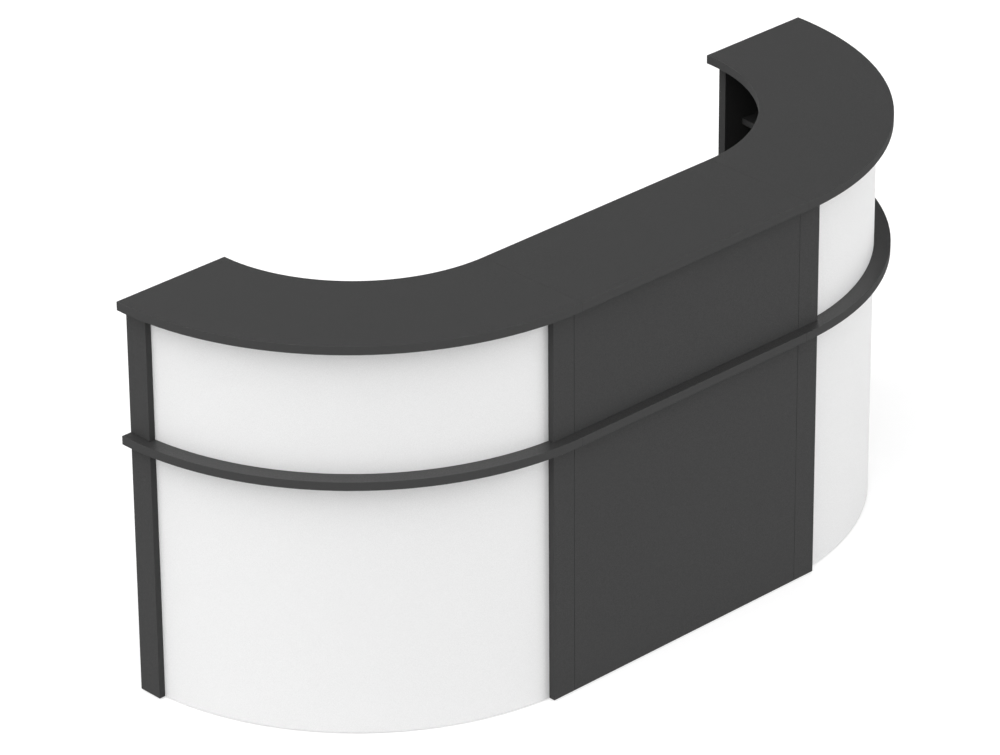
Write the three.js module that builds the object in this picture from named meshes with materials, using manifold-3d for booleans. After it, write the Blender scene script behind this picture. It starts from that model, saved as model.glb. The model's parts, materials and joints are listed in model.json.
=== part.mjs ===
// Reception desk, built from boards in three units that stand side by side: a straight middle unit
// and a quarter-round corner unit at each end. Each unit has a lower carcass under a desk-high
// worktop and an upper carcass that carries the visitors' counter. The worktop runs out past the
// front as a ledge. The curved fronts are thin bent panels, called skins here: their long edges
// stand in grooves in the boards above and below, their upright edges lap behind the posts, and a
// curved rail backs the free edge at the floor. Shelves and rails are let into the gables.
//
// Millimetres, +Z up. Visitors stand on the -Y side, staff sit on the +Y side, and the origin is on
// the floor at the middle of the desk.

import * as THREE from 'three';
import { mergeVertices, toCreasedNormals } from 'three/addons/utils/BufferGeometryUtils.js';
import Module from 'manifold-3d';

// Driving dimensions

// Plan
const MIDDLE_WIDTH = 830; // straight unit, from joint to joint
const CORNER_RADIUS = 834.5; // outer edge of counter and worktop, from the corner's centre
const UNIT_GAP = 0.5; // seam between neighbouring units
const EDGE_OVERHANG = 30; // how far counter and worktop stand out past the posts

// Heights
const FOOT_LIFT = 4; // floor to the underside of the carcass
const LOWER_HEIGHT = 739; // lower carcass
const UPPER_HEIGHT = 361; // upper carcass, from the worktop to the counter

// Counter and worktop
const COUNTER_DEPTH = 365;
const COUNTER_THICKNESS = 25;
const WORKTOP_DEPTH = 600;
const WORKTOP_THICKNESS = 25;

// Gables, the upright side panels of each unit
const GABLE_THICKNESS = 25;
const GABLE_SETBACK = 50; // from the staff edge of the board above

// Posts that frame the curved fronts, and the flat fronts of the middle unit
const POST_WIDTH = 74;
const POST_THICKNESS = 25;
const FRONT_THICKNESS = 25;

// Skins, the bent front panels of the corner units
const SKIN_THICKNESS = 8;
const SKIN_RECESS = 16; // behind the faces of the posts
const SKIN_LAP = 8; // hidden behind each post
const SKIN_TENON = 5; // standing in the groove of the board above or below

// Shelf between worktop and counter
const SHELF_RISE = 145; // worktop to the underside of the shelf
const SHELF_THICKNESS = 18;
const SHELF_DEPTH = 190; // from the backs of the posts

// Curved rail behind the bottom edge of a lower skin
const RAIL_THICKNESS = 18;
const RAIL_DEPTH = 90; // from the backs of the posts

// Housings, the grooves in the gables that take the ends of shelves and rails
const HOUSING_DEPTH = 6;

// Levelling feet, screwed up into the lower gables
const FOOT_BACK_INSET = 60; // from the staff edge of the gable
const FOOT_FRONT_INSET = 115; // from the front edge of the gable
const FOOT_MARGIN = 1.5; // pad inside the gable's faces
const FOOT_CHAMFER = 1;
const STEM_DIAMETER = 8;
const STEM_LENGTH = 40;

// Bolts that join the gables of neighbouring units
const BOLT_INSET = 70; // from the front and back edges of the gable
const BOLT_DROP = 85; // below the top of the gable
const BOLT_DIAMETER = 8;
const BOLT_HEAD_DIAMETER = 17;
const BOLT_HEAD_HEIGHT = 2.5;
const BOLT_CHAMFER = 0.8;

// Fit and facets
const FIT = 0.3; // gap between pieces that touch, and round what stands in a groove or bore
const ARC_STEPS = 18; // facet pairs on each quarter-round edge
const ROUND_STEPS = 16; // facets round a foot, bolt or bore
const CREASE_ANGLE = Math.PI / 9; // edges sharper than this stay crisp

// Levels, from the floor up
const BASE = FOOT_LIFT;
const WORKTOP_UNDERSIDE = BASE + LOWER_HEIGHT;
const WORKTOP_TOP = WORKTOP_UNDERSIDE + WORKTOP_THICKNESS;
const COUNTER_UNDERSIDE = WORKTOP_TOP + UPPER_HEIGHT;
const COUNTER_TOP = COUNTER_UNDERSIDE + COUNTER_THICKNESS;
const SHELF_UNDERSIDE = WORKTOP_TOP + SHELF_RISE;
const SHELF_TOP = SHELF_UNDERSIDE + SHELF_THICKNESS;
const RAIL_TOP = BASE + RAIL_THICKNESS;

// Distances out from the corner's centre, which the middle unit shares as distances forward
const FACE = CORNER_RADIUS - EDGE_OVERHANG;
const POST_BACK = FACE - POST_THICKNESS;
const FRONT_BACK = FACE - FRONT_THICKNESS;
const SKIN_OUTER = FACE - SKIN_RECESS;
const SKIN_INNER = SKIN_OUTER - SKIN_THICKNESS;
const COUNTER_INNER = CORNER_RADIUS - COUNTER_DEPTH;
const WORKTOP_INNER = CORNER_RADIUS - WORKTOP_DEPTH;
const SHELF_INNER = POST_BACK - SHELF_DEPTH;
const RAIL_INNER = POST_BACK - RAIL_DEPTH;
const RING_REACH = Math.min(POST_BACK, SKIN_INNER) - FIT; // curved shelf and rail, just inside the skin

// Distances in from the side of a unit
const SKIN_END = POST_WIDTH - SKIN_LAP;
const HOUSED_END = GABLE_THICKNESS - HOUSING_DEPTH;

// Boards whose ends are let into the gables
const SHELF = { inner: SHELF_INNER, bottom: SHELF_UNDERSIDE, top: SHELF_TOP };
const RAIL = { inner: RAIL_INNER, bottom: BASE, top: RAIL_TOP };

// The two carcass storeys: the span of their uprights, the staff edge of their gables, and the span
// of their skins
const LOWER = {
  name: 'lower',
  bottom: BASE,
  top: WORKTOP_UNDERSIDE - FIT,
  inner: WORKTOP_INNER + GABLE_SETBACK,
  skinBottom: BASE,
  skinTop: WORKTOP_UNDERSIDE + SKIN_TENON,
};
const UPPER = {
  name: 'upper',
  bottom: WORKTOP_TOP + FIT,
  top: COUNTER_UNDERSIDE - FIT,
  inner: COUNTER_INNER + GABLE_SETBACK,
  skinBottom: WORKTOP_TOP - SKIN_TENON,
  skinTop: COUNTER_UNDERSIDE + SKIN_TENON,
};

const GRAPHITE = new THREE.MeshStandardMaterial({ color: 0x474747, roughness: 0.55, metalness: 0 });
const WHITE = new THREE.MeshStandardMaterial({ color: 0xf0f0f0, roughness: 0.5, metalness: 0 });
const BLACK_NYLON = new THREE.MeshStandardMaterial({ color: 0x1e1e1e, roughness: 0.6, metalness: 0 });
const ZINC_STEEL = new THREE.MeshStandardMaterial({ color: 0xb4b6b8, roughness: 0.35, metalness: 1 });

// Cutting solids

const wasm = await Module();
wasm.setup();

function solidOf(geometry) {
  const bare = geometry.clone();
  bare.deleteAttribute('normal');
  bare.deleteAttribute('uv');
  const merged = mergeVertices(bare);
  const mesh = new wasm.Mesh({
    numProp: 3,
    vertProperties: new Float32Array(merged.attributes.position.array),
    triVerts: new Uint32Array(merged.index.array),
  });
  return new wasm.Manifold(mesh);
}

function geometryOf(solid) {
  const { vertProperties, triVerts } = solid.getMesh();
  const geometry = new THREE.BufferGeometry();
  geometry.setAttribute('position', new THREE.BufferAttribute(vertProperties, 3));
  geometry.setIndex(new THREE.BufferAttribute(triVerts, 1));
  return toCreasedNormals(geometry, CREASE_ANGLE);
}

function cut(geometry, cutters) {
  const solid = cutters.reduce((left, cutter) => left.subtract(solidOf(cutter)), solidOf(geometry));
  return geometryOf(solid);
}

// Plan outlines

// A place on the plan is given by how far it lies across from the side of its unit and how far out
// from the corner's centre. These turn it into the unit's own x and y.
const atCornerEnd = (across, out) => new THREE.Vector2(-out, -across);
const atCornerJoint = (across, out) => new THREE.Vector2(-across, -out);
const atMiddleLeft = (across, out) => new THREE.Vector2(across - MIDDLE_WIDTH / 2, -out);
const atMiddleRight = (across, out) => new THREE.Vector2(MIDDLE_WIDTH / 2 - across, -out);

function rectangle(place, [across0, across1], [out0, out1]) {
  return new THREE.Shape([
    place(across0, out0),
    place(across1, out0),
    place(across1, out1),
    place(across0, out1),
  ]);
}

// Quarter ring about the corner's centre, its straight ends set in from the two sides of the unit
function quarterRing(inner, outer, inset = 0) {
  const innerTurn = Math.asin(inset / inner);
  const outerTurn = Math.asin(inset / outer);
  const shape = new THREE.Shape();
  shape.absarc(0, 0, outer, Math.PI + outerTurn, 1.5 * Math.PI - outerTurn, false);
  shape.absarc(0, 0, inner, 1.5 * Math.PI - innerTurn, Math.PI + innerTurn, true);
  return shape;
}

function board(outline, bottom, top) {
  const geometry = new THREE.ExtrudeGeometry(outline, {
    depth: top - bottom,
    bevelEnabled: false,
    curveSegments: ARC_STEPS,
  });
  return geometry.translate(0, 0, bottom);
}

// Round pieces and bores

function turned(points) {
  const profile = points.map(([radius, along]) => new THREE.Vector2(radius, along));
  return new THREE.LatheGeometry(profile, ROUND_STEPS);
}

function foot() {
  const stem = STEM_DIAMETER / 2;
  const pad = GABLE_THICKNESS / 2 - FOOT_MARGIN;
  const padTop = FOOT_LIFT - FIT;
  const stemTop = padTop + STEM_LENGTH;
  return turned([
    [0, 0],
    [pad - FOOT_CHAMFER, 0],
    [pad, FOOT_CHAMFER],
    [pad, padTop],
    [stem, padTop],
    [stem, stemTop - FOOT_CHAMFER],
    [stem - FOOT_CHAMFER, stemTop],
    [0, stemTop],
  ]).rotateX(Math.PI / 2);
}

function joiningBolt() {
  const shank = BOLT_DIAMETER / 2;
  const head = BOLT_HEAD_DIAMETER / 2;
  const grip = GABLE_THICKNESS + UNIT_GAP / 2 + FIT;
  const end = grip + BOLT_HEAD_HEIGHT;
  return turned([
    [0, -end],
    [head - BOLT_CHAMFER, -end],
    [head, BOLT_CHAMFER - end],
    [head, -grip],
    [shank, -grip],
    [shank, grip],
    [head, grip],
    [head, end - BOLT_CHAMFER],
    [head - BOLT_CHAMFER, end],
    [0, end],
  ]).rotateZ(Math.PI / 2);
}

function bore(diameter, length) {
  const radius = diameter / 2 + FIT;
  return new THREE.CylinderGeometry(radius, radius, length, ROUND_STEPS);
}

function footBore({ x, y }) {
  const depth = STEM_LENGTH + FIT;
  return bore(STEM_DIAMETER, 2 * depth).rotateX(Math.PI / 2).translate(x, y, BASE);
}

function boltBore({ x, y }, height) {
  return bore(BOLT_DIAMETER, 2 * GABLE_THICKNESS).rotateZ(Math.PI / 2).translate(x, y, height);
}

// Where feet and bolts stand along a gable, from its staff edge to its front edge
const footPlaces = (front) => ({ back: LOWER.inner + FOOT_BACK_INSET, front: front - FOOT_FRONT_INSET });
const boltPlaces = (storey) => ({ back: storey.inner + BOLT_INSET, front: POST_BACK - BOLT_INSET });
const boltHeight = (storey) => storey.top - BOLT_DROP;

// Pieces that more than one unit has

function piece(name, geometry, material) {
  const mesh = new THREE.Mesh(geometry, material);
  mesh.name = name;
  return mesh;
}

// The groove that takes the end of a housed board. It is open at the front edge of the gable, and
// starts where the staff edge of a curved board leaves the gable's face.
function housing(place, { inner, bottom, top }) {
  const start = Math.sqrt(inner ** 2 - GABLE_THICKNESS ** 2) - FIT;
  const outline = rectangle(place, [HOUSED_END - FIT, GABLE_THICKNESS + FIT], [start, FACE]);
  return board(outline, bottom - FIT, top + FIT);
}

function gable(name, storey, place, { front, bolted, housed }) {
  const outline = rectangle(place, [0, GABLE_THICKNESS], [storey.inner, front]);
  const centre = GABLE_THICKNESS / 2;
  const cutters = housed.map((guest) => housing(place, guest));
  if (storey === LOWER) {
    cutters.push(...Object.values(footPlaces(front)).map((out) => footBore(place(centre, out))));
  }
  if (bolted) {
    const height = boltHeight(storey);
    cutters.push(...Object.values(boltPlaces(storey)).map((out) => boltBore(place(centre, out), height)));
  }
  return piece(name, cut(board(outline, storey.bottom, storey.top), cutters), GRAPHITE);
}

function feet(name, place, front) {
  return Object.entries(footPlaces(front)).map(([side, out]) => {
    const mesh = piece(`${name}_${side}_foot`, foot(), BLACK_NYLON);
    const { x, y } = place(GABLE_THICKNESS / 2, out);
    mesh.position.set(x, y, 0);
    return mesh;
  });
}

// Corner unit, drawn as the left one about its own centre

function skin(name, storey) {
  const outline = quarterRing(SKIN_INNER, SKIN_OUTER, SKIN_END);
  const panel = board(outline, storey.skinBottom, storey.skinTop);
  return piece(`${name}_${storey.name}_curved_panel`, panel, WHITE);
}

// The room that a skin takes up in the boards that hold it
function skinRoom(storey) {
  const outline = quarterRing(SKIN_INNER - FIT, SKIN_OUTER + FIT, SKIN_END - FIT);
  return board(outline, storey.skinBottom - FIT, storey.skinTop + FIT);
}

function post(name, storey, place) {
  const outline = rectangle(place, [0, POST_WIDTH], [POST_BACK, FACE]);
  return piece(name, cut(board(outline, storey.bottom, storey.top), [skinRoom(storey)]), GRAPHITE);
}

// Curved board between the two gables of a corner unit, its ends let into them
function housedRing(name, { inner, bottom, top }) {
  return piece(name, board(quarterRing(inner, RING_REACH, HOUSED_END), bottom, top), GRAPHITE);
}

function cornerStorey(name, storey) {
  const front = POST_BACK - FIT;
  const housed = [storey === UPPER ? SHELF : RAIL];
  return [
    skin(name, storey),
    post(`${name}_${storey.name}_end_post`, storey, atCornerEnd),
    post(`${name}_${storey.name}_joint_post`, storey, atCornerJoint),
    gable(`${name}_${storey.name}_end_gable`, storey, atCornerEnd, { front, bolted: false, housed }),
    gable(`${name}_${storey.name}_joint_gable`, storey, atCornerJoint, { front, bolted: true, housed }),
  ];
}

function jointBolts(name, storey) {
  return Object.entries(boltPlaces(storey)).map(([side, out]) => {
    const mesh = piece(`${name}_${storey.name}_${side}_bolt`, joiningBolt(), ZINC_STEEL);
    mesh.position.set(UNIT_GAP / 2, -out, boltHeight(storey));
    return mesh;
  });
}

function cornerUnit(name) {
  const unit = new THREE.Group();
  const counter = board(quarterRing(COUNTER_INNER, CORNER_RADIUS), COUNTER_UNDERSIDE, COUNTER_TOP);
  const worktop = board(quarterRing(WORKTOP_INNER, CORNER_RADIUS), WORKTOP_UNDERSIDE, WORKTOP_TOP);
  unit.add(
    piece(`${name}_counter_top`, cut(counter, [skinRoom(UPPER)]), GRAPHITE),
    piece(`${name}_worktop`, cut(worktop, [skinRoom(UPPER), skinRoom(LOWER)]), GRAPHITE),
    housedRing(`${name}_shelf`, SHELF),
    housedRing(`${name}_bottom_rail`, RAIL),
    ...cornerStorey(name, UPPER),
    ...cornerStorey(name, LOWER),
    ...feet(`${name}_end`, atCornerEnd, POST_BACK - FIT),
    ...feet(`${name}_joint`, atCornerJoint, POST_BACK - FIT),
    ...jointBolts(name, UPPER),
    ...jointBolts(name, LOWER),
  );
  return unit;
}

// Middle unit

function middleStorey(storey) {
  const front = FRONT_BACK - FIT;
  const housed = storey === UPPER ? [SHELF] : [];
  const panel = rectangle(atMiddleLeft, [0, MIDDLE_WIDTH], [FRONT_BACK, FACE]);
  return [
    piece(`middle_${storey.name}_front_panel`, board(panel, storey.bottom, storey.top), GRAPHITE),
    gable(`middle_${storey.name}_left_gable`, storey, atMiddleLeft, { front, bolted: true, housed }),
    gable(`middle_${storey.name}_right_gable`, storey, atMiddleRight, { front, bolted: true, housed }),
  ];
}

function middleUnit() {
  const unit = new THREE.Group();
  const width = [0, MIDDLE_WIDTH];
  const shelfWidth = [HOUSED_END, MIDDLE_WIDTH - HOUSED_END];
  const counter = rectangle(atMiddleLeft, width, [COUNTER_INNER, CORNER_RADIUS]);
  const worktop = rectangle(atMiddleLeft, width, [WORKTOP_INNER, CORNER_RADIUS]);
  const shelf = rectangle(atMiddleLeft, shelfWidth, [SHELF_INNER, FRONT_BACK - FIT]);
  unit.add(
    piece('middle_counter_top', board(counter, COUNTER_UNDERSIDE, COUNTER_TOP), GRAPHITE),
    piece('middle_worktop', board(worktop, WORKTOP_UNDERSIDE, WORKTOP_TOP), GRAPHITE),
    piece('middle_shelf', board(shelf, SHELF_UNDERSIDE, SHELF_TOP), GRAPHITE),
    ...middleStorey(UPPER),
    ...middleStorey(LOWER),
    ...feet('middle_left', atMiddleLeft, FRONT_BACK - FIT),
    ...feet('middle_right', atMiddleRight, FRONT_BACK - FIT),
  );
  return unit;
}

// The whole desk: the right corner unit is the mirror image of the left one

const left = cornerUnit('left');
left.position.x = -(MIDDLE_WIDTH / 2 + UNIT_GAP);

const right = cornerUnit('right');
right.scale.x = -1;
right.position.x = MIDDLE_WIDTH / 2 + UNIT_GAP;

const desk = new THREE.Group();
desk.add(left, middleUnit(), right);
desk.position.y = CORNER_RADIUS / 2;

export default desk;
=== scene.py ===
# Looks, camera and light for the reception desk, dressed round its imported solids. Metres, +Z up.

import json
import math
from itertools import product

import bmesh
import bpy
from mathutils import Matrix, Vector

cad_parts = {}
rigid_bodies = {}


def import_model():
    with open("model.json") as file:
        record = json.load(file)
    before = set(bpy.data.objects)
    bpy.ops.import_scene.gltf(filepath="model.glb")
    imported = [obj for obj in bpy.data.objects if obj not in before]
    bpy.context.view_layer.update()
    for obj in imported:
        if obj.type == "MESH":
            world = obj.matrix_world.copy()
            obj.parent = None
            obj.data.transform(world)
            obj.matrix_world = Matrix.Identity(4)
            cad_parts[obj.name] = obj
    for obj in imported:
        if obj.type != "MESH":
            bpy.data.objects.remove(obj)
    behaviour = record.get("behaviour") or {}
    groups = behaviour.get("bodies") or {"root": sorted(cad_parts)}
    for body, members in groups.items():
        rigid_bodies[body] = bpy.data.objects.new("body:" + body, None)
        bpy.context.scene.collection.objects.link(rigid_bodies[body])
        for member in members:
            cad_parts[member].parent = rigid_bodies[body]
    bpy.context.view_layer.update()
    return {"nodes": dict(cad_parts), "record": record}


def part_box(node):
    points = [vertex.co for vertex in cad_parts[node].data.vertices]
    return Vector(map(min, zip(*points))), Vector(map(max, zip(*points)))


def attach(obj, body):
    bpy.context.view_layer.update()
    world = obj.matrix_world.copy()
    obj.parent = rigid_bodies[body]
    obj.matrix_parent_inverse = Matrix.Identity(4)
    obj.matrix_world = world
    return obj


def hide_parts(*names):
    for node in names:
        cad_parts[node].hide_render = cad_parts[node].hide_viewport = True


for leftover in list(bpy.data.objects):
    bpy.data.objects.remove(leftover)

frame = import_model()
nodes = frame["nodes"]

# Camera, at the photograph's angle
CAMERA_PLACE = Vector((-9.66498, -9.83003, 7.85392))
CAMERA_AZIMUTH = math.radians(-43.588)
CAMERA_ELEVATION = math.radians(27.6423)
CAMERA_ROLL = math.radians(-0.4643)
CAMERA_LENS = 210.79  # millimetres
SENSOR_WIDTH = 36.0  # millimetres

# Light: an even glow and large soft areas of the room. Azimuth 0 is in front of the desk and
# 90 degrees is on its right; a larger focus makes an area smaller.
EVEN_LIGHT = 0.02
SOFT_AREAS = (
    {"azimuth": -90, "elevation": 60, "focus": 10, "strength": 4.5},
    {"azimuth": -90, "elevation": 8, "focus": 10, "strength": 1.85},
    {"azimuth": -45, "elevation": 8, "focus": 10, "strength": 1.4},
    {"azimuth": 0, "elevation": 60, "focus": 10, "strength": 0.9},
    {"azimuth": 45, "elevation": 15, "focus": 10, "strength": 4.2},
    {"azimuth": 180, "elevation": 25, "focus": 10, "strength": 1.5},
)

# Floor
FLOOR_SIZE = 600.0
FLOOR_COLOUR = 0.5
FLOOR_ROUGHNESS = 0.9
FLOOR_GLOW = 0.6  # only where the floor is seen or mirrored

# White backdrop, seen or mirrored from the floor's far edge up to where it fades out
BACKDROP_FADE = (0.1, 0.2)  # sines of the elevation

# A spread says how far a grey goes below and above itself, as a share of it. A pair of roughnesses is
# for the low and the high parts of the grain or clouds.

# Graphite boards. Those that lie flat are more satin, and their face and edging are painted darker than
# the upright boards' as painted shade that offsets their extra sheen.
UPRIGHT_BOARD = {"face": 0.0505, "edging": 0.0535, "roughness": (0.68, 0.56), "specular": 0.1}
FLAT_BOARD = {"face": 0.0375, "edging": 0.0485, "roughness": (0.45, 0.33), "specular": 0.35}
BOARD_FINISHES = {  # by the axis that the faces lie across
    "x": UPRIGHT_BOARD,
    "y": UPRIGHT_BOARD,
    "z": FLAT_BOARD,
}
FACE_SPREAD = 0.1
EDGING_SPREAD = 0.05
EDGING_CLOUD = 0.012
EDGING_ROUGHNESS = 1.0
EDGING_RELIEF = 0.15  # as a share of the faces' relief
EDGING_LEAN = (0.6, 0.75)  # cosines of the lean from the face at which edging gives way to face

# Curved panels
WHITE = 0.842
WHITE_SPREAD = 0.045
WHITE_ROUGHNESS = (0.5, 0.4)
PANEL_SPECULAR = 0.2
# The dark inner side of the curved panels is partly a backing and partly painted shade, as dark as the
# deep shade inside the wings.
BACKING_AND_SHADE = 0.025
BACKING_AND_SHADE_SPREAD = 0.15
BACKING_AND_SHADE_CLOUD = 0.003
BACKING_ROUGHNESS = 0.7
# Surfaces past this limit get the dark inner side: partly backing, partly painted shade.
BACKING_AND_SHADE_LIMIT = -0.05  # surfaces that look to the middle of the curve by more than this are backing

# Pearl grain of boards and panels
GRAIN_SIZE = 0.0014
GRAIN_RANGE = (0.42, 0.62)  # noise values at the foot and on the top of a grain
GRAIN_DEPTH = 0.00008

# Moulded plastic
BLACK_PLASTIC = 0.013
GRAPHITE_PLASTIC = 0.03
PLASTIC_SPREAD = 0.1
PLASTIC_CLOUD = 0.002
PLASTIC_GRAIN = 0.0006
PLASTIC_DEPTH = 0.00003
PLASTIC_ROUGHNESS = (0.4, 0.6)
PLASTIC_SPECULAR = 0.4

# Zinc plating
ZINC_TINTS = ((0.4, 0.41, 0.43, 1.0), (0.54, 0.54, 0.53, 1.0))
ZINC_CLOUD = 0.003
ZINC_DETAIL = 4.0
ZINC_ROUGHNESS = (0.28, 0.45)

# Rounded edges of the boards
EDGE_RADIUS = 0.001
EDGE_STEPS = 3
EDGE_ANGLE = math.radians(30)  # less than this is part of a curve
FLAT_ANGLE = math.radians(0.3)  # less than this is flat
WELD_DISTANCE = 0.00002
SEAM_REACH = 0.0005  # edges whose middles are this near a seam stay square

# Round fittings
ROUND_STEPS = 32
SHARP_ANGLE = math.radians(35)

# Cover caps over the cam fittings that join the boards
CAP_PROFILE = (  # radius, and height above the gable's face, from the rim to the dimple in the middle
    (0.009, -0.0002),
    (0.009, 0.00048),
    (0.0087, 0.0009),
    (0.008, 0.0012),
    (0.00324, 0.0012),
    (0.0027, 0.00084),
)
CAP_INSET = 0.034  # from the edge that the fitting pulls up
CAP_FRONT_INSET = 0.13  # first cap of a row, from the front edge of its gable
CAP_BACK_INSET = 0.045  # last cap of a row, from the staff edge of its gable
CAP_HEIGHTS = {"upper": (0.2, 0.8), "lower": (0.15, 0.5, 0.82)}  # shares of the gable's height

# Levelling feet, with M8 stems
PAD_HEIGHT = 0.0037
PAD_FOOT = ((0.0012, 0.0), (0.0004, 0.0003), (0.0, 0.001))  # inset from the rim, height off the floor
PAD_SHOULDER = ((0.0, 0.0012), (0.0003, 0.0006), (0.001, 0.0003))  # inset from the rim, depth below top
PAD_COLLAR = 0.0015  # width of the flat top round the stem
STEM_RADIUS = 0.004
STEM_TIP = 0.001
THREAD_PITCH = 0.00125
THREAD_DEPTH = 0.0007
THREAD_LEVELS = 4  # rings in each pitch

# Joining bolts
BOLT_HEAD_HEIGHT = 0.0025
BOLT_ROUNDING = 0.0009
BOLT_ROUNDING_MIDDLE = BOLT_ROUNDING / 3
BOLT_SHANK_RADIUS = 0.004
SOCKET_WIDTH = 0.005
SOCKET_DEPTH = 0.0032
SOCKET_RIM = 0.0003

# Directions and names
AXES = {"x": Vector((1, 0, 0)), "y": Vector((0, 1, 0)), "z": Vector((0, 0, 1))}
LEFT, RIGHT, FRONT = -AXES["x"], AXES["x"], -AXES["y"]
UNIT_SIDES = ("left", "right")
STOREYS = ("upper", "lower")
BOLT_ROWS = ("back", "front")
GABLE_SIDES = {  # the ways that the inner face and the front edge of each gable look
    ("left", "end"): (FRONT, LEFT),
    ("left", "joint"): (LEFT, FRONT),
    ("middle", "left"): (RIGHT, FRONT),
    ("middle", "right"): (LEFT, FRONT),
    ("right", "joint"): (RIGHT, FRONT),
    ("right", "end"): (FRONT, RIGHT),
}


# Shader nodes

def add_node(tree, kind, inputs=None, **settings):
    """A new node, with its settings and with a value or a link on each named or numbered input."""
    made = tree.nodes.new(kind)
    for key, value in settings.items():
        setattr(made, key, value)
    for key, value in (inputs or {}).items():
        if isinstance(value, bpy.types.NodeSocket):
            tree.links.new(value, made.inputs[key])
        else:
            made.inputs[key].default_value = value
    return made


def new_material(name):
    """An empty node material, its shader and its tree."""
    material = bpy.data.materials.new(name)
    material.use_nodes = True
    tree = material.node_tree
    return material, tree, tree.nodes["Principled BSDF"]


def grey(value):
    return (value, value, value, 1.0)


def noise(tree, place, size, detail=2.0):
    """Fine random texture whose features are about size metres across."""
    return add_node(
        tree, "ShaderNodeTexNoise", {"Vector": place, "Scale": 1 / size, "Detail": detail}
    ).outputs["Fac"]


def remap(tree, value, low, high, from_low=0.0, from_high=1.0, **settings):
    made = add_node(
        tree,
        "ShaderNodeMapRange",
        {"Value": value, "From Min": from_low, "From Max": from_high, "To Min": low, "To Max": high},
        **settings,
    )
    return made.outputs["Result"]


def mix_colours(tree, share, first, second):
    made = add_node(tree, "ShaderNodeMix", data_type="RGBA")
    for key, value in (("Factor_Float", share), ("A_Color", first), ("B_Color", second)):
        socket = next(s for s in made.inputs if s.identifier == key)
        if isinstance(value, bpy.types.NodeSocket):
            tree.links.new(value, socket)
        else:
            socket.default_value = value
    return next(s for s in made.outputs if s.identifier == "Result_Color")


def math_node(tree, operation, *values):
    made = add_node(tree, "ShaderNodeMath", dict(enumerate(values)), operation=operation)
    return made.outputs[0]


def blend(tree, share, first, second):
    """A number that goes from first to second as share goes from 0 to 1."""
    return math_node(tree, "MULTIPLY_ADD", share, math_node(tree, "SUBTRACT", second, first), first)


def dot(tree, first, second):
    made = add_node(
        tree, "ShaderNodeVectorMath", {0: first, 1: second}, operation="DOT_PRODUCT"
    )
    return made.outputs["Value"]


def bump(tree, height, depth):
    """Relief of the given depth in metres."""
    return add_node(
        tree, "ShaderNodeBump", {"Height": height, "Distance": depth, "Strength": 1.0}
    ).outputs["Normal"]


# Materials

def grains(tree, place):
    """0 between the grains of a pearl finish, 1 on top of them."""
    return remap(
        tree, noise(tree, place, GRAIN_SIZE), 0.0, 1.0, *GRAIN_RANGE, interpolation_type="SMOOTHSTEP"
    )


def shaded(tree, share, colour, spread):
    """A grey that spreads, by that share of itself, below and above its colour."""
    return mix_colours(tree, share, grey(colour * (1 - spread)), grey(colour * (1 + spread)))


def board_material(name, face_axis, finish):
    """Graphite melamine with a pearl finish on the faces along face_axis, and matt edging round them."""
    material, tree, shader = new_material(name)
    coordinates = add_node(tree, "ShaderNodeTexCoord")
    place = coordinates.outputs["Object"]
    facing = math_node(tree, "ABSOLUTE", dot(tree, coordinates.outputs["Normal"], face_axis))
    edging = remap(tree, facing, 1.0, 0.0, *EDGING_LEAN)
    pearl = grains(tree, place)
    face_colour = shaded(tree, pearl, finish["face"], FACE_SPREAD)
    cloud = noise(tree, place, EDGING_CLOUD)
    edge_colour = shaded(tree, cloud, finish["edging"], EDGING_SPREAD)
    roughness = blend(tree, edging, remap(tree, pearl, *finish["roughness"]), EDGING_ROUGHNESS)
    height = math_node(tree, "MULTIPLY", pearl, remap(tree, edging, 1.0, EDGING_RELIEF))
    tree.links.new(mix_colours(tree, edging, face_colour, edge_colour), shader.inputs["Base Color"])
    tree.links.new(roughness, shader.inputs["Roughness"])
    tree.links.new(bump(tree, height, GRAIN_DEPTH), shader.inputs["Normal"])
    shader.inputs["Specular IOR Level"].default_value = finish["specular"]
    return material


def curved_panel_material(name, centre):
    """White melamine on the side away from centre, and a dark side towards it that is partly backing and
    partly painted shade of the deep shade inside the curve.
    """
    material, tree, shader = new_material(name)
    coordinates = add_node(tree, "ShaderNodeTexCoord")
    place = coordinates.outputs["Object"]
    outward = add_node(
        tree, "ShaderNodeVectorMath", {0: place, 1: centre}, operation="SUBTRACT"
    ).outputs["Vector"]
    facing = dot(tree, coordinates.outputs["Normal"], outward)
    # the dark inner side: partly backing, partly painted shade
    backing_and_shade = math_node(tree, "LESS_THAN", facing, BACKING_AND_SHADE_LIMIT)
    pearl = grains(tree, place)
    white = shaded(tree, pearl, WHITE, WHITE_SPREAD)
    dark = shaded(tree, noise(tree, place, BACKING_AND_SHADE_CLOUD), BACKING_AND_SHADE, BACKING_AND_SHADE_SPREAD)
    roughness = blend(tree, backing_and_shade, remap(tree, pearl, *WHITE_ROUGHNESS), BACKING_ROUGHNESS)
    tree.links.new(mix_colours(tree, backing_and_shade, white, dark), shader.inputs["Base Color"])
    tree.links.new(roughness, shader.inputs["Roughness"])
    tree.links.new(bump(tree, pearl, GRAIN_DEPTH), shader.inputs["Normal"])
    shader.inputs["Specular IOR Level"].default_value = PANEL_SPECULAR
    return material


def plastic_material(name, colour):
    """Moulded plastic with a fine grain."""
    material, tree, shader = new_material(name)
    place = add_node(tree, "ShaderNodeTexCoord").outputs["Object"]
    grain = noise(tree, place, PLASTIC_GRAIN)
    cloud = noise(tree, place, PLASTIC_CLOUD)
    tree.links.new(shaded(tree, cloud, colour, PLASTIC_SPREAD), shader.inputs["Base Color"])
    tree.links.new(remap(tree, grain, *PLASTIC_ROUGHNESS), shader.inputs["Roughness"])
    tree.links.new(bump(tree, grain, PLASTIC_DEPTH), shader.inputs["Normal"])
    shader.inputs["Specular IOR Level"].default_value = PLASTIC_SPECULAR
    return material


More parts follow.
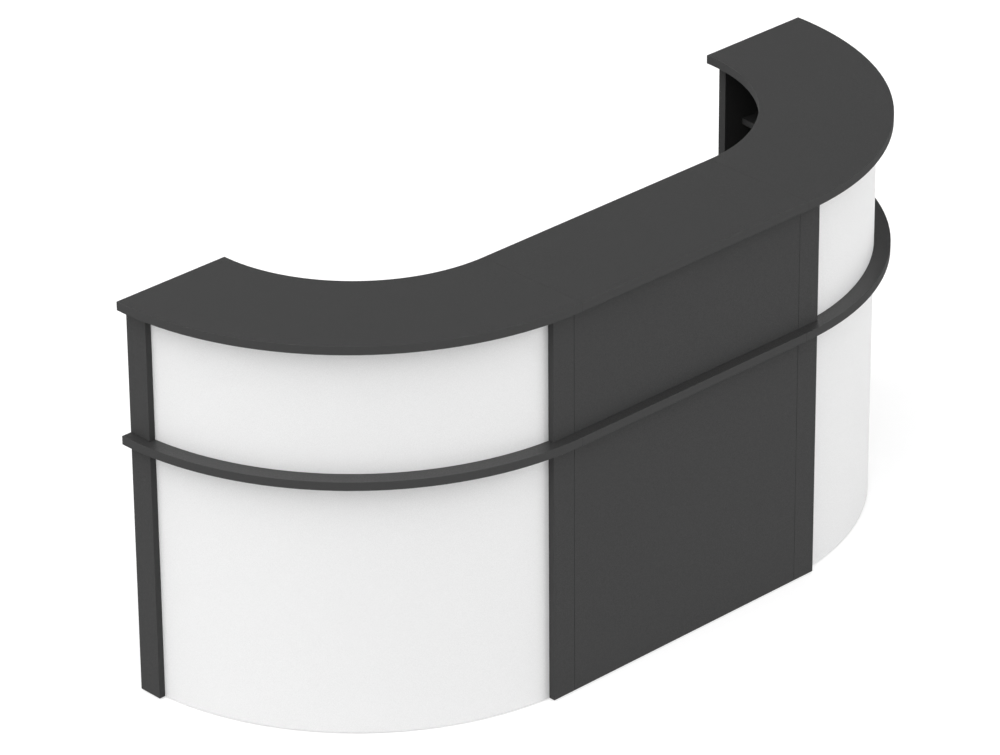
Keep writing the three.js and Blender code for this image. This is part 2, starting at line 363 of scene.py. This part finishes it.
def zinc_material(name):
    """Bright zinc plating, a little cloudy."""
    material, tree, shader = new_material(name)
    place = add_node(tree, "ShaderNodeTexCoord").outputs["Object"]
    cloud = noise(tree, place, ZINC_CLOUD, ZINC_DETAIL)
    tree.links.new(mix_colours(tree, cloud, *ZINC_TINTS), shader.inputs["Base Color"])
    tree.links.new(remap(tree, cloud, *ZINC_ROUGHNESS), shader.inputs["Roughness"])
    shader.inputs["Metallic"].default_value = 1.0
    return material


# Dressing the solids

def geometry_group(name):
    group = bpy.data.node_groups.new(name, "GeometryNodeTree")
    for side in ("INPUT", "OUTPUT"):
        group.interface.new_socket("Geometry", in_out=side, socket_type="NodeSocketGeometry")
    return group


def facet_group():
    """Joins a solid's triangles into one smooth surface, without their flat normals."""
    group = geometry_group("join_facets")
    start = add_node(group, "NodeGroupInput").outputs[0]
    joined = add_node(
        group, "GeometryNodeMergeByDistance", {"Geometry": start, "Distance": WELD_DISTANCE}
    ).outputs[0]
    bare = add_node(
        group, "GeometryNodeRemoveAttribute", {"Geometry": joined, "Name": "custom_normal"}
    ).outputs[0]
    smooth = add_node(group, "GeometryNodeSetShadeSmooth", {"Geometry": bare}).outputs[0]
    add_node(group, "NodeGroupOutput", {0: smooth})
    return group


def edge_group(name, seam=None):
    """Marks the outward edges for rounding, but for those at a seam, if the seam's distance from the
    middle of the desk is given. The other edges stay crisp."""
    group = geometry_group(name)
    start = add_node(group, "NodeGroupInput").outputs[0]
    angles = add_node(group, "GeometryNodeInputMeshEdgeAngle").outputs
    share = math_node(group, "GREATER_THAN", angles["Signed Angle"], EDGE_ANGLE)
    crisp = math_node(group, "GREATER_THAN", angles["Unsigned Angle"], EDGE_ANGLE)
    if seam is not None:
        middle = add_node(group, "GeometryNodeInputPosition").outputs[0]
        x = add_node(group, "ShaderNodeSeparateXYZ", {0: middle}).outputs["X"]
        from_seam = math_node(group, "SUBTRACT", math_node(group, "ABSOLUTE", x), seam)
        free = math_node(group, "GREATER_THAN", math_node(group, "ABSOLUTE", from_seam), SEAM_REACH)
        share = math_node(group, "MULTIPLY", share, free)
    unrounded = math_node(group, "GREATER_THAN", crisp, share)
    creased = add_node(
        group,
        "GeometryNodeSetShadeSmooth",
        {"Geometry": start, "Selection": unrounded, "Shade Smooth": False},
        domain="EDGE",
    ).outputs[0]
    marked = add_node(
        group,
        "GeometryNodeStoreNamedAttribute",
        {"Geometry": creased, "Name": "bevel_weight_edge", "Value": share},
        data_type="FLOAT",
        domain="EDGE",
    ).outputs[0]
    add_node(group, "NodeGroupOutput", {0: marked})
    return group


def round_edges(piece, joined, marked):
    piece.modifiers.new("join_facets", "NODES").node_group = joined
    flats = piece.modifiers.new("flats", "DECIMATE")
    flats.decimate_type = "DISSOLVE"
    flats.angle_limit = FLAT_ANGLE
    piece.modifiers.new("mark_edges", "NODES").node_group = marked
    edges = piece.modifiers.new("edges", "BEVEL")
    edges.width = EDGE_RADIUS
    edges.segments = EDGE_STEPS
    edges.limit_method = "WEIGHT"
    edges.harden_normals = True


def dress(name, material, joined, marked):
    piece = nodes[name]
    piece.material_slots[0].material = material
    round_edges(piece, joined, marked)


def dress_boards(joined, marked):
    """Each board's faces lie across the axis along which it is thinnest; curved boards lie flat."""
    seam = (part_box("right_counter_top")[0].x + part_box("middle_counter_top")[1].x) / 2
    tight = edge_group("mark_edges_off_seams", seam)
    by_axis = [
        board_material(f"graphite_board_{name}", AXES[name], finish)
        for name, finish in BOARD_FINISHES.items()
    ]
    slots = {row["node"]: row["material_slot"] for row in frame["record"]["subparts"]}
    for name, slot in slots.items():
        if slot == "graphite_board":
            low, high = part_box(name)
            size = list(high - low)
            seamed = name.endswith(("counter_top", "worktop"))
            dress(name, by_axis[size.index(min(size))], joined, tight if seamed else marked)


def corner_centre(side):
    """The middle of a corner unit's curves, where its counter's straight ends would meet."""
    low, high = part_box(f"{side}_counter_top")
    return Vector((high.x if side == "left" else low.x, high.y, 0.0))


def dress_curved_panels(joined, marked):
    for side in UNIT_SIDES:
        material = curved_panel_material(f"white_panel_{side}", corner_centre(side))
        for storey in STOREYS:
            dress(f"{side}_{storey}_curved_panel", material, joined, marked)


# Round fittings

def circle(radius, height):
    turns = [2 * math.pi * i / ROUND_STEPS for i in range(ROUND_STEPS)]
    return [Vector((radius * math.cos(turn), radius * math.sin(turn), height)) for turn in turns]


def hexagon(across_flats, height):
    """The same number of points as in a circle, spread round a hexagon."""
    points = []
    for i in range(ROUND_STEPS):
        turn = 2 * math.pi * i / ROUND_STEPS
        from_flat = (turn % (math.pi / 3)) - math.pi / 6
        radius = across_flats / 2 / math.cos(from_flat)
        points.append(Vector((radius * math.cos(turn), radius * math.sin(turn), height)))
    return points


def thread(height):
    """One level of a screw thread, whose crest climbs by a pitch in a turn."""
    points = []
    for i in range(ROUND_STEPS):
        turn = i / ROUND_STEPS
        phase = (height / THREAD_PITCH - turn) % 1.0
        radius = STEM_RADIUS - THREAD_DEPTH * (1 - abs(2 * phase - 1))
        points.append(Vector((
            radius * math.cos(2 * math.pi * turn), radius * math.sin(2 * math.pi * turn), height
        )))
    return points


def add_loft(mesh, rings, place, material_index=0):
    """A closed round body through rings of points, added to a mesh under construction."""
    rows = [[mesh.verts.new(place @ point) for point in ring] for ring in rings]
    faces = [mesh.faces.new(list(reversed(rows[0]))), mesh.faces.new(rows[-1])]
    for lower, upper in zip(rows, rows[1:]):
        for i in range(ROUND_STEPS):
            j = (i + 1) % ROUND_STEPS
            faces.append(mesh.faces.new((lower[i], lower[j], upper[j], upper[i])))
    for face in faces:
        face.smooth = True
        face.material_index = material_index


def new_piece(name, mesh, materials, body):
    """Turns a finished mesh into a piece that rides on a body."""
    data = bpy.data.meshes.new(name)
    mesh.to_mesh(data)
    mesh.free()
    data.set_sharp_from_angle(angle=SHARP_ANGLE)
    for material in materials:
        data.materials.append(material)
    piece = bpy.data.objects.new(name, data)
    bpy.context.scene.collection.objects.link(piece)
    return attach(piece, body)


def middle_and_size(node):
    low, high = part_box(node)
    return (low + high) / 2, high - low


def bolt_rings(end, head):
    """A shank with a socketed head at each end. The ends lie that far from the middle, and head is the
    radius of the heads."""
    grip = end - BOLT_HEAD_HEIGHT
    half = [
        hexagon(SOCKET_WIDTH, end - SOCKET_DEPTH),
        hexagon(SOCKET_WIDTH, end - SOCKET_RIM),
        hexagon(SOCKET_WIDTH + 2 * SOCKET_RIM, end),
        circle(head - BOLT_ROUNDING, end),
        circle(head - BOLT_ROUNDING_MIDDLE, end - BOLT_ROUNDING_MIDDLE),
        circle(head, end - BOLT_ROUNDING),
        circle(head, grip),
        circle(BOLT_SHANK_RADIUS, grip),
    ]
    mirrored = [[Vector((p.x, p.y, -p.z)) for p in ring] for ring in half]
    return mirrored + list(reversed(half))


def add_bolts(zinc):
    """Joining bolts, which run across the joints between the units."""
    for unit, storey, row in product(UNIT_SIDES, STOREYS, BOLT_ROWS):
        node = f"{unit}_{storey}_{row}_bolt"
        middle, size = middle_and_size(node)
        mesh = bmesh.new()
        place = Matrix.Translation(middle) @ Matrix.Rotation(math.pi / 2, 4, "Y")
        add_loft(mesh, bolt_rings(size.x / 2, size.z / 2), place)
        piece = new_piece(f"{node}_heads", mesh, [zinc], "carcass")
        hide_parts(node)


def pad_rings(radius):
    rings = [circle(radius - inset, height) for inset, height in PAD_FOOT]
    rings += [circle(radius - inset, PAD_HEIGHT - depth) for inset, depth in PAD_SHOULDER]
    return rings + [circle(STEM_RADIUS + PAD_COLLAR, PAD_HEIGHT)]


def stem_rings(top):
    """A screw thread from inside the pad up to a tapered tip."""
    levels = int((top - STEM_TIP - PAD_HEIGHT) / THREAD_PITCH * THREAD_LEVELS)
    start = PAD_HEIGHT - STEM_TIP
    core = STEM_RADIUS - THREAD_DEPTH
    rings = [thread(start + i * THREAD_PITCH / THREAD_LEVELS) for i in range(levels)]
    return rings + [circle(core, top - STEM_TIP), circle(core - STEM_TIP, top)]


def add_feet(nylon, zinc):
    """Levelling feet: a nylon pad on a threaded steel stem."""
    for node in [name for name in nodes if name.endswith("_foot")]:
        middle, size = middle_and_size(node)
        place = Matrix.Translation(middle - AXES["z"] * size.z / 2)
        mesh = bmesh.new()
        add_loft(mesh, pad_rings(size.x / 2), place)
        add_loft(mesh, stem_rings(size.z), place, material_index=1)
        piece = new_piece(f"{node}_detail", mesh, [nylon, zinc], node)
        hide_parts(node)


def cap_places(node, inward, storey, forward):
    """Where the caps lie on a gable's inner face: along its top, an upper one's foot too, and up its
    front edge."""
    middle, size = middle_and_size(node)
    depth = abs(size.dot(forward))
    foot = middle + inward * abs(size.dot(inward)) / 2 + forward * depth / 2 - AXES["z"] * size.z / 2

    def at(inset, height):
        return foot - forward * inset + AXES["z"] * height

    rows = [size.z - CAP_INSET]
    if storey == "upper":
        rows.append(CAP_INSET)
    spots = [at(inset, row) for row in rows for inset in (CAP_FRONT_INSET, depth - CAP_BACK_INSET)]
    return spots + [at(CAP_INSET, share * size.z) for share in CAP_HEIGHTS[storey]]


def add_caps(plastic):
    """Plastic caps over the cam fittings inside each gable."""
    rings = [circle(radius, height) for radius, height in CAP_PROFILE]
    for (unit, side), (inward, forward) in GABLE_SIDES.items():
        for storey in STOREYS:
            node = f"{unit}_{storey}_{side}_gable"
            mesh = bmesh.new()
            turn = inward.to_track_quat("Z", "X").to_matrix().to_4x4()
            for spot in cap_places(node, inward, storey, forward):
                add_loft(mesh, rings, Matrix.Translation(spot) @ turn)
            new_piece(f"{node}_caps", mesh, [plastic], "carcass")


# Floor, light and camera

def in_view(tree):
    """1 for what is seen directly, in a reflection or through glass, 0 for what only gives light."""
    path = add_node(tree, "ShaderNodeLightPath").outputs
    seen = math_node(tree, "MAXIMUM", path["Is Camera Ray"], path["Is Glossy Ray"])
    return math_node(tree, "MAXIMUM", seen, path["Is Transmission Ray"])


def add_floor():
    bpy.ops.mesh.primitive_plane_add(size=FLOOR_SIZE)
    floor = bpy.context.object
    floor.name = "floor"
    material, tree, shader = new_material("floor")
    shader.inputs["Base Color"].default_value = grey(FLOOR_COLOUR)
    shader.inputs["Roughness"].default_value = FLOOR_ROUGHNESS
    shader.inputs["Specular IOR Level"].default_value = 0.0
    shader.inputs["Emission Color"].default_value = grey(1.0)
    glow = math_node(tree, "MULTIPLY", in_view(tree), FLOOR_GLOW)
    tree.links.new(glow, shader.inputs["Emission Strength"])
    floor.data.materials.append(material)


def direction_to(azimuth, elevation):
    turn, rise = math.radians(azimuth), math.radians(elevation)
    return Vector((math.sin(turn) * math.cos(rise), -math.cos(turn) * math.cos(rise), math.sin(rise)))


def add_room_light():
    world = bpy.data.worlds.new("room")
    world.use_nodes = True
    bpy.context.scene.world = world
    tree = world.node_tree
    direction = add_node(tree, "ShaderNodeTexCoord").outputs["Generated"]
    total = EVEN_LIGHT
    for area in SOFT_AREAS:
        towards = dot(tree, direction, direction_to(area["azimuth"], area["elevation"]))
        shape = math_node(tree, "POWER", math_node(tree, "MAXIMUM", towards, 0.0), area["focus"])
        total = math_node(tree, "MULTIPLY_ADD", shape, area["strength"], total)
    rise = dot(tree, direction, AXES["z"])
    white = math_node(tree, "MULTIPLY", in_view(tree), remap(tree, rise, 1.0, 0.0, *BACKDROP_FADE))
    background = tree.nodes["Background"]
    background.inputs["Color"].default_value = grey(1.0)
    tree.links.new(blend(tree, white, total, 1.0), background.inputs["Strength"])


def add_camera():
    data = bpy.data.cameras.new("camera")
    data.sensor_width = SENSOR_WIDTH
    data.sensor_fit = "HORIZONTAL"
    data.lens = CAMERA_LENS
    camera = bpy.data.objects.new("camera", data)
    bpy.context.scene.collection.objects.link(camera)
    turn = Matrix.Rotation(CAMERA_AZIMUTH, 4, "Z")
    tilt = Matrix.Rotation(math.pi / 2 - CAMERA_ELEVATION, 4, "X")
    roll = Matrix.Rotation(CAMERA_ROLL, 4, "Z")
    camera.matrix_world = Matrix.Translation(CAMERA_PLACE) @ turn @ tilt @ roll
    bpy.context.scene.camera = camera


joined = facet_group()
marked = edge_group("mark_edges")
dress_boards(joined, marked)
dress_curved_panels(joined, marked)
zinc = zinc_material("zinc_steel")
add_bolts(zinc)
add_feet(plastic_material("black_nylon", BLACK_PLASTIC), zinc)
add_caps(plastic_material("graphite_plastic", GRAPHITE_PLASTIC))
add_floor()
add_room_light()
add_camera()
bpy.context.scene.view_settings.view_transform = "Standard"
